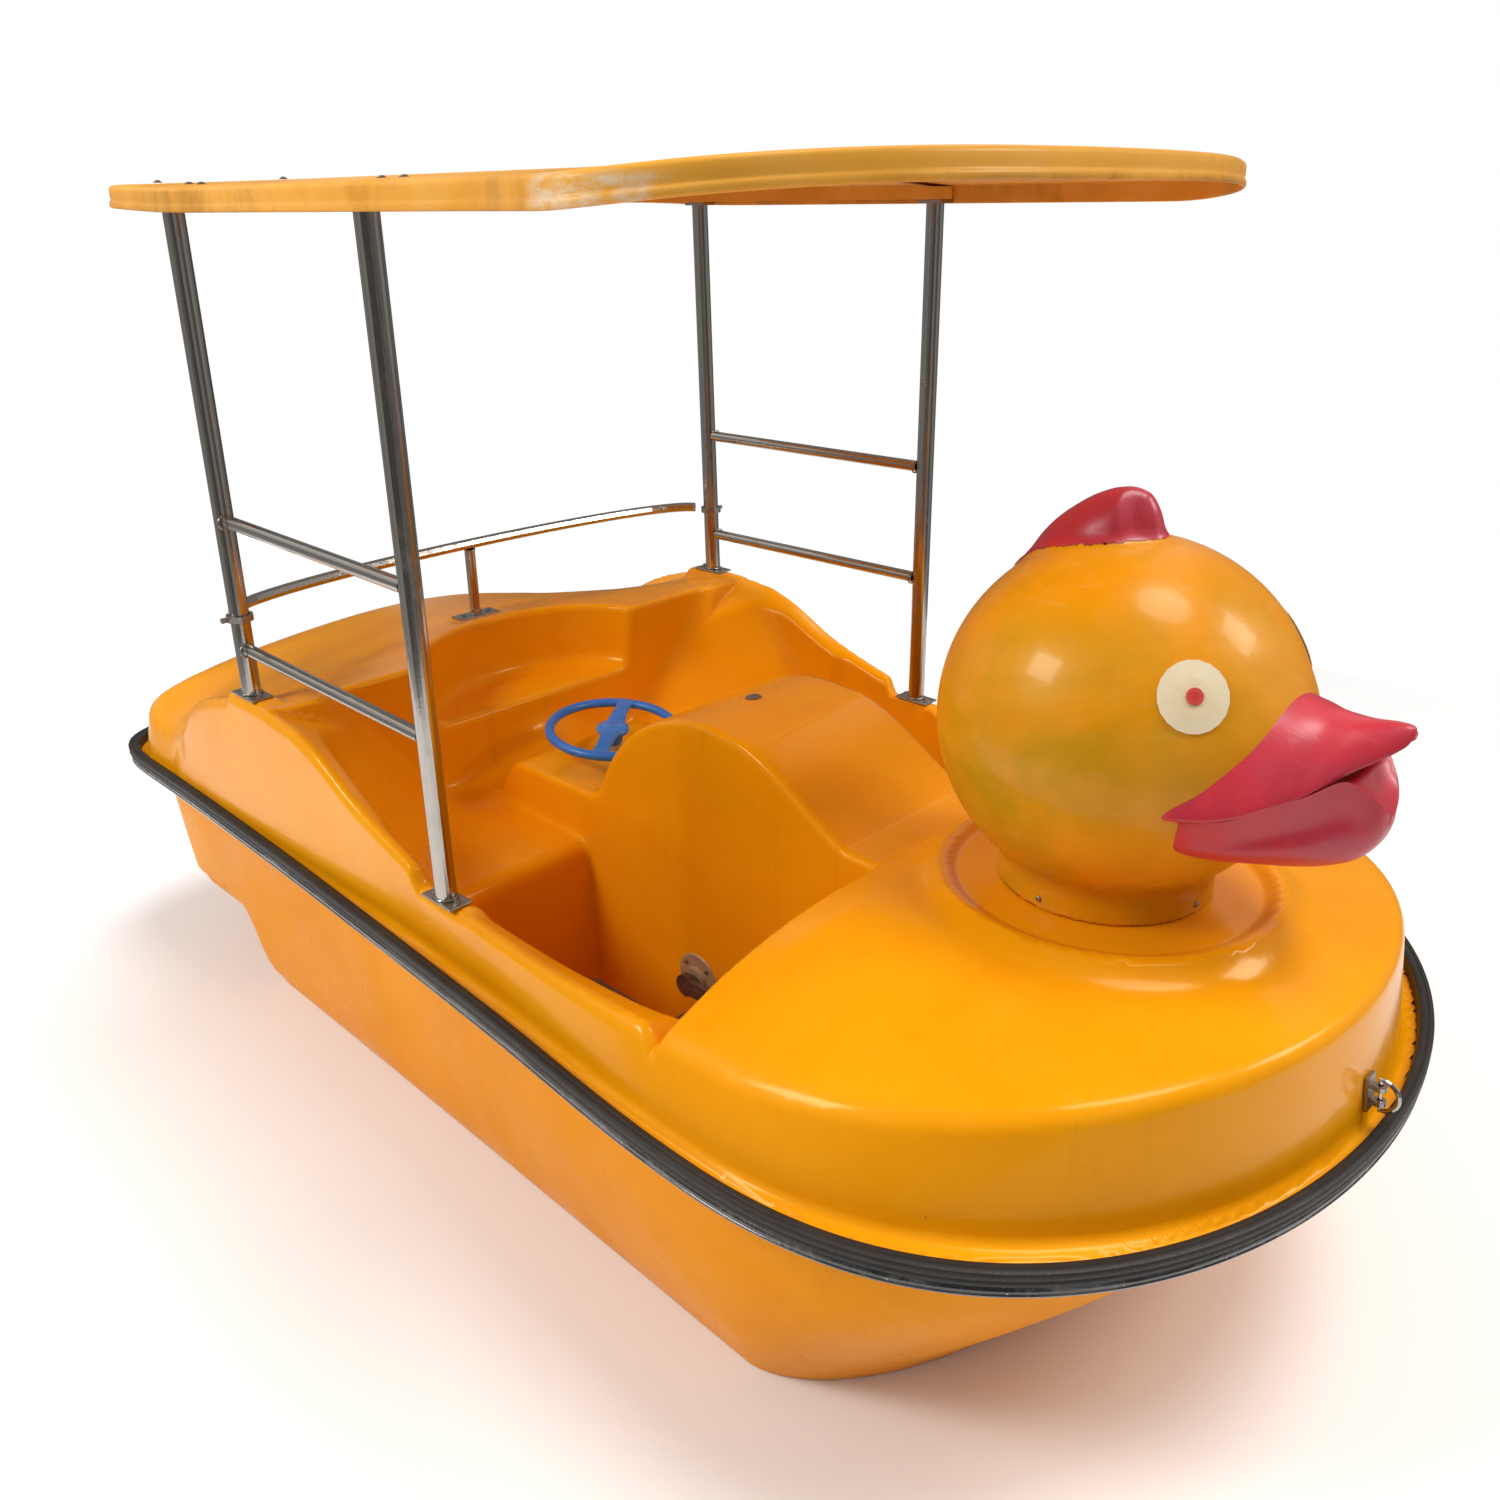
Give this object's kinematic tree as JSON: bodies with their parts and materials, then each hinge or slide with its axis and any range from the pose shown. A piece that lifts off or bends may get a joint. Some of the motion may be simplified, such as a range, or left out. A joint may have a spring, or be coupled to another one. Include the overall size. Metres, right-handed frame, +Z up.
{
  "type": "pedal boat",
  "caption": "Four-seat pedal boat with a duck's head on the bow, canopy on four posts, pedal cranks driving a paddle wheel, and a steered rudder.",
  "frame": {"origin": "middle of the whole boat in plan, at the height of the flat keel it rests on", "axes": "+X to the bow, +Y to port, +Z up"},
  "size_m": [2.9343, 1.536, 1.8264],
  "materials": {
    "gelcoat": "glossy polyester gelcoat over glass fibre, lightly scuffed",
    "roof_gelcoat": "weathered gelcoat",
    "head_paint": "hand-sprayed gloss paint with soft yellow mottling",
    "red_paint": "brushed red paint, satin",
    "cream_vinyl": "cream disc",
    "pupil_vinyl": "red disc",
    "stainless": "polished stainless tube with fine draw lines",
    "rubber": "matte extruded rubber",
    "insert_plastic": "glossy dark insert strip",
    "blue_plastic": "moulded plastic, satin",
    "cast_alloy": "sand-cast alloy, weathered",
    "crank_steel": "weathered steel with light rust",
    "pedal_plastic": "dark brown plastic",
    "paddle_plastic": "orange moulded plastic",
    "plug_plastic": "dark plastic plug"
  },
  "bodies": {
    "boat": {"back_rail": "stainless", "back_rail_base": "stainless", "back_rail_post": "stainless", "bow_ring_plate": "stainless", "canopy_roof": "roof_gelcoat", "column_bearing": "cast_alloy", "deck_moulding": "gelcoat", "drain_plug": "plug_plastic", "eye_disc_port": "cream_vinyl", "eye_disc_starboard": "cream_vinyl", "eye_pupil_port": "pupil_vinyl", "eye_pupil_starboard": "pupil_vinyl", "head_crest": "red_paint", "head_shell": "head_paint", "housing_plug": "plug_plastic", "hull_shell": "gelcoat", "lower_bill": "red_paint", "neck_ring": "stainless", "post_base_front_port": "stainless", "post_base_front_starboard": "stainless", "post_base_rear_port": "stainless", "post_base_rear_starboard": "stainless", "post_front_port": "stainless", "post_front_starboard": "stainless", "post_rear_port": "stainless", "post_rear_starboard": "stainless", "rail_collar_port": "stainless", "rail_collar_starboard": "stainless", "roof_beam_front": "roof_gelcoat", "roof_beam_rear": "roof_gelcoat", "rub_rail": "rubber", "rub_rail_insert": "insert_plastic", "rudder_bearing": "stainless", "shaft_bearing_port": "cast_alloy", "shaft_bearing_starboard": "cast_alloy", "side_rail_lower_port": "stainless", "side_rail_lower_starboard": "stainless", "side_rail_upper_port": "stainless", "side_rail_upper_starboard": "stainless", "upper_bill": "red_paint"},
    "drive": {"drive_shaft": "crank_steel", "paddle_wheel": "paddle_plastic", "paddle_disc_port": "paddle_plastic", "paddle_disc_starboard": "paddle_plastic", "crank_port": "crank_steel", "crank_starboard": "crank_steel"},
    "steering": {"steering_wheel": "blue_plastic", "steering_column": "stainless", "steering_arm": "cast_alloy"},
    "link": {"drag_link": "stainless"},
    "rudder": {"rudder_stock": "stainless", "rudder_blade": "paddle_plastic", "tiller_arm": "cast_alloy"},
    "bow_ring": {"bow_ring": "stainless"},
    "pedal_inner_port": {"pedal_inner_port": "pedal_plastic"},
    "pedal_inner_starboard": {"pedal_inner_starboard": "pedal_plastic"},
    "pedal_outer_port": {"pedal_outer_port": "pedal_plastic"},
    "pedal_outer_starboard": {"pedal_outer_starboard": "pedal_plastic"}
  },
  "joints": [
    {"name": "crank_spin", "type": "hinge", "parent": "boat", "child": "drive", "pos_m": [0.21, 0, 0.305], "axis": [0, 1, 0], "continuous": true},
    {"name": "steering_turn", "type": "hinge", "parent": "boat", "child": "steering", "pos_m": [-0.26241, 0, 0.6], "axis": [0.0819, 0, 0.9966], "range_deg": [-40, 40]},
    {"name": "link_pivot", "type": "hinge", "parent": "steering", "child": "link", "pos_m": [-0.27515, 0.1, 0.445], "axis": [0.0819, 0, 0.9966], "range_deg": [-40, 40]},
    {"name": "rudder_swing", "type": "hinge", "parent": "boat", "child": "rudder", "pos_m": [-1.12, 0, 0.3], "axis": [0, 0, 1], "range_deg": [-40, 40]},
    {"name": "bow_ring_swing", "type": "hinge", "parent": "boat", "child": "bow_ring", "pos_m": [1.44399, 0, 0.57], "axis": [-0.1081, 0, 0.9941], "range_deg": [-60, 60]},
    {"name": "pedal_inner_port_spin", "type": "hinge", "parent": "drive", "child": "pedal_inner_port", "pos_m": [0.335, 0.29, 0.305], "axis": [0, 1, 0], "continuous": true},
    {"name": "pedal_outer_port_spin", "type": "hinge", "parent": "drive", "child": "pedal_outer_port", "pos_m": [0.085, 0.43, 0.305], "axis": [0, 1, 0], "continuous": true},
    {"name": "pedal_inner_starboard_spin", "type": "hinge", "parent": "drive", "child": "pedal_inner_starboard", "pos_m": [0.335, -0.29, 0.305], "axis": [0, 1, 0], "continuous": true},
    {"name": "pedal_outer_starboard_spin", "type": "hinge", "parent": "drive", "child": "pedal_outer_starboard", "pos_m": [0.085, -0.43, 0.305], "axis": [0, 1, 0], "continuous": true}
  ],
  "couplings": [
    {"joint": "link_pivot", "follows": "steering_turn", "ratio": -1},
    {"joint": "rudder_swing", "follows": "steering_turn", "ratio": 1}
  ]
}
